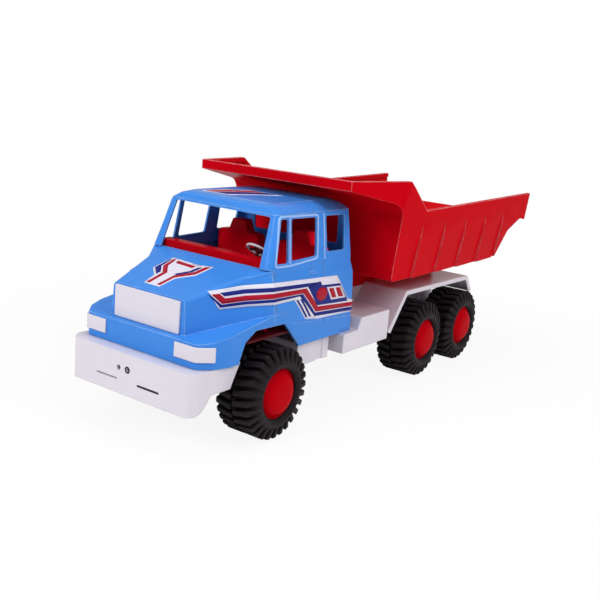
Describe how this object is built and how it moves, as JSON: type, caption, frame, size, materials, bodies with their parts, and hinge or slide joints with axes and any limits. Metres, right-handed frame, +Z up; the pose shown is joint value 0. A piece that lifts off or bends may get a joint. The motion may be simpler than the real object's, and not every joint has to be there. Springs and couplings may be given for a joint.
{
  "type": "toy dump truck",
  "caption": "Plastic toy dump truck with an open-window hooded cab, twin rear axles, lugged tyres and a rear-hinged tipping bed with a cab canopy.",
  "frame": {"origin": "floor level under the middle of the truck's length and width", "axes": "-Y is the front of the truck, +X its left side, +Z up; it stands on its wheels at z = 0"},
  "size_m": [0.256, 0.686, 0.2676],
  "materials": {
    "white_plastic": "moulded, satin",
    "blue_plastic": "moulded, glossy",
    "red_plastic": "moulded, glossy",
    "grey_plastic": "moulded, matt",
    "tyre": "soft black plastic",
    "steel": "drawn rod"
  },
  "bodies": {
    "chassis": {"chassis_frame": "white_plastic", "front_bumper": "white_plastic", "hood_shell": "blue_plastic", "cab_shell": "blue_plastic", "cab_roof": "blue_plastic", "grille_panel": "white_plastic", "headlamp_left": "white_plastic", "headlamp_right": "white_plastic", "sill_box_left": "white_plastic", "sill_box_right": "white_plastic", "interior_floor": "red_plastic", "dashboard": "red_plastic", "seat_left": "red_plastic", "seat_right": "red_plastic", "steering_wheel": "grey_plastic", "side_tank_left": "white_plastic", "side_tank_right": "white_plastic", "rear_fender_left": "white_plastic", "rear_fender_right": "white_plastic"},
    "bed": {"bed_tub": "red_plastic", "bed_pivot_pin": "steel"},
    "front_wheels": {"front_axle": "steel", "front_tyre_left": "tyre", "front_tyre_right": "tyre", "front_hub_left": "red_plastic", "front_hub_right": "red_plastic"},
    "middle_wheels": {"middle_axle": "steel", "middle_tyre_left": "tyre", "middle_tyre_right": "tyre", "middle_hub_left": "red_plastic", "middle_hub_right": "red_plastic"},
    "rear_wheels": {"rear_axle": "steel", "rear_tyre_left": "tyre", "rear_tyre_right": "tyre", "rear_hub_left": "red_plastic", "rear_hub_right": "red_plastic"}
  },
  "joints": [
    {"name": "bed_tip", "type": "hinge", "parent": "chassis", "child": "bed", "pos_m": [0, 0.225, 0.13], "axis": [-1, 0, 0], "range_deg": [0, 50]},
    {"name": "front_axle_spin", "type": "hinge", "parent": "chassis", "child": "front_wheels", "pos_m": [0, -0.23, 0.05], "axis": [1, 0, 0], "continuous": true},
    {"name": "middle_axle_spin", "type": "hinge", "parent": "chassis", "child": "middle_wheels", "pos_m": [0, 0.0875, 0.05], "axis": [1, 0, 0], "continuous": true},
    {"name": "rear_axle_spin", "type": "hinge", "parent": "chassis", "child": "rear_wheels", "pos_m": [0, 0.2, 0.05], "axis": [1, 0, 0], "continuous": true}
  ]
}
